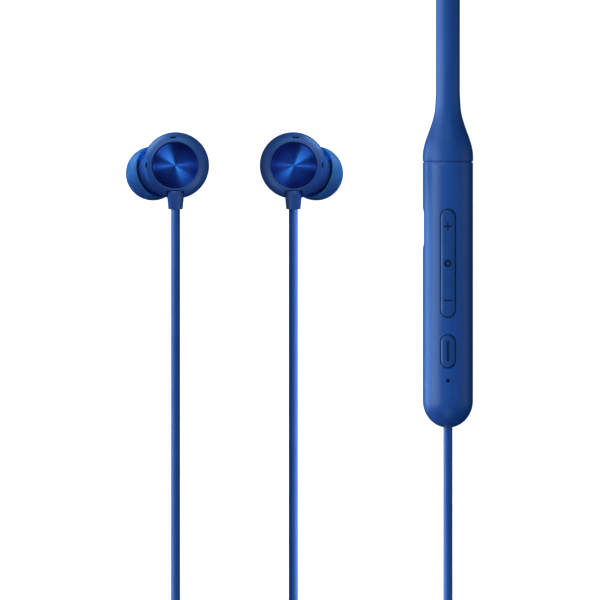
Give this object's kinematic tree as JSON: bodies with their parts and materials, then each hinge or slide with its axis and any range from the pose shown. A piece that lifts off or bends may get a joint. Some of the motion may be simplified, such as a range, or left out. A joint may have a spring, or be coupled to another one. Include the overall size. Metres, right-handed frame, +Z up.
{
  "type": "neckband earphones",
  "caption": "Wireless neckband earphones: a flexible round band joins a control pod and a battery pod, each with a cable to an in-ear bud with a magnetic disc.",
  "frame": {"origin": "centre of the outer box of band, pods and earbuds (cables left out), on the table they lie on", "axes": "+Z up from the table, +Y towards the band's arch, +X towards the control pod's arm"},
  "size_m": [0.1514, 0.2667, 0.0151],
  "materials": {
    "band_silicone": "matte soft-touch silicone, royal blue",
    "pod_plastic": "matte soft-touch coating, royal blue",
    "key_plastic": "matte, royal blue",
    "bud_plastic": "satin, royal blue",
    "spun_disc": "spun metal under clear blue lacquer",
    "tip_silicone": "translucent silicone",
    "boot_rubber": "matte elastomer",
    "cable_jacket": "satin elastomer jacket",
    "dark_window": "smoked light pipe",
    "inner_plastic": "glass-filled nylon, as moulded",
    "inner_rubber": "silicone, as moulded",
    "spring_metal": "nickel-titanium wire, oxide finish",
    "steel": "stainless, drawn",
    "copper": "enamelled copper",
    "circuit_board": "solder mask",
    "chip_resin": "moulded resin",
    "battery_foil": "laminated foil",
    "foam": "closed-cell foam",
    "magnet_plating": "nickel plating",
    "diaphragm_film": "thin polymer film"
  },
  "bodies": {
    "neckband": {"neckband_sleeve": "band_silicone", "memory_wire": "spring_metal", "band_leads": "cable_jacket"},
    "right_arm": {"right_band_anchor": "inner_plastic", "control_front_shell": "pod_plastic", "control_rear_shell": "pod_plastic", "main_board": "circuit_board", "shield_can": "steel", "audio_chip": "chip_resin", "charge_chip": "chip_resin", "clock_crystal": "steel", "microphone": "steel", "microphone_gasket": "inner_rubber", "microphone_mesh": "steel", "antenna": "copper", "dome_switches": "steel", "board_screws": "steel", "usb_shell": "steel", "usb_tongue": "chip_resin", "right_cable_clamp": "inner_plastic", "right_cable": "cable_jacket", "right_cable_boot": "boot_rubber", "right_rear_housing": "bud_plastic", "right_front_housing": "bud_plastic", "right_face_plate": "spun_disc", "right_clip_magnet": "magnet_plating", "right_driver_frame": "steel", "right_driver_magnet": "magnet_plating", "right_voice_coil": "copper", "right_driver_diaphragm": "diaphragm_film", "right_nozzle_mesh": "steel"},
    "left_arm": {"left_band_anchor": "inner_plastic", "battery_front_shell": "pod_plastic", "battery_rear_shell": "pod_plastic", "battery_cell": "battery_foil", "battery_board": "circuit_board", "battery_pads": "foam", "left_cable_clamp": "inner_plastic", "left_cable": "cable_jacket", "left_cable_boot": "boot_rubber", "left_rear_housing": "bud_plastic", "left_front_housing": "bud_plastic", "left_face_plate": "spun_disc", "left_clip_magnet": "magnet_plating", "left_driver_frame": "steel", "left_driver_magnet": "magnet_plating", "left_voice_coil": "copper", "left_driver_diaphragm": "diaphragm_film", "left_nozzle_mesh": "steel"},
    "strip_pad": {"strip_pivot_pad": "inner_rubber"},
    "volume_rocker": {"volume_strip": "key_plastic"},
    "power_button": {"power_key": "key_plastic", "status_window": "dark_window"},
    "right_tip": {"right_ear_tip": "tip_silicone"},
    "left_tip": {"left_ear_tip": "tip_silicone"}
  },
  "joints": [
    {"name": "right_arm_flex", "type": "hinge", "parent": "neckband", "child": "right_arm", "pos_m": [0.06761, 0.03411, 0.00271], "axis": [0, 0, 1], "range_deg": [0, 18], "stiffness_Nm_per_rad": 0.4, "deforming": ["neckband_sleeve", "memory_wire", "band_leads"]},
    {"name": "left_arm_flex", "type": "hinge", "parent": "neckband", "child": "left_arm", "pos_m": [-0.06761, 0.03411, 0.00271], "axis": [0, 0, -1], "range_deg": [0, 18], "stiffness_Nm_per_rad": 0.4, "deforming": ["neckband_sleeve", "memory_wire", "band_leads"]},
    {"name": "strip_press", "type": "slide", "parent": "right_arm", "child": "strip_pad", "axis": [0, 0, -1], "range_m": [0, 0.0003], "stiffness_N_per_m": 600},
    {"name": "strip_rock", "type": "hinge", "parent": "strip_pad", "child": "volume_rocker", "pos_m": [0.07, -0.05181, 0.00913], "axis": [1, 0, 0], "range_deg": [-1.2, 1.2], "stiffness_Nm_per_rad": 0.05},
    {"name": "power_press", "type": "slide", "parent": "right_arm", "child": "power_button", "axis": [0, 0, -1], "range_m": [0, 0.0003], "stiffness_N_per_m": 800},
    {"name": "right_tip_pull", "type": "slide", "parent": "right_arm", "child": "right_tip", "axis": [0.6192, -0.2168, -0.7547], "range_m": [0, 0.008]},
    {"name": "left_tip_pull", "type": "slide", "parent": "left_arm", "child": "left_tip", "axis": [-0.6192, -0.2168, -0.7547], "range_m": [0, 0.008]}
  ]
}
